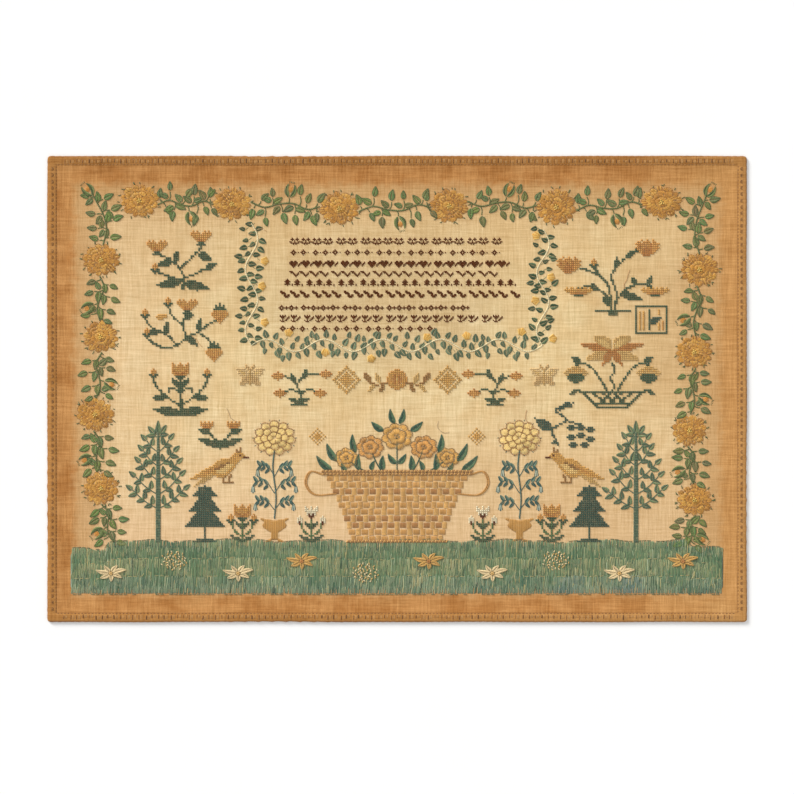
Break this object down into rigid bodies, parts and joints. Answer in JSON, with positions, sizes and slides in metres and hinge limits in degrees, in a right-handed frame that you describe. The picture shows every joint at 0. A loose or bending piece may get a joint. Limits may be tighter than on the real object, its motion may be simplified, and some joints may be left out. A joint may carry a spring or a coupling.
{
  "type": "cross stitch sampler cloth",
  "caption": "Flat hemmed linen cloth with a stitched flower border, leaf garland, bands and motifs, lying face up.",
  "frame": {"origin": "middle of the underside of the cloth, at the height of the table it lies on", "axes": "+X across the cloth to its right edge, +Y up the cloth to its top edge, +Z out of its stitched face"},
  "size_m": [0.9142, 0.6096, 0.0031],
  "materials": {
    "linen": "plain-woven linen, cream in the field and amber at the margin, with cotton and wool stitching"
  },
  "bodies": {
    "root": {"sampler_cloth": "linen"}
  },
  "joints": []
}
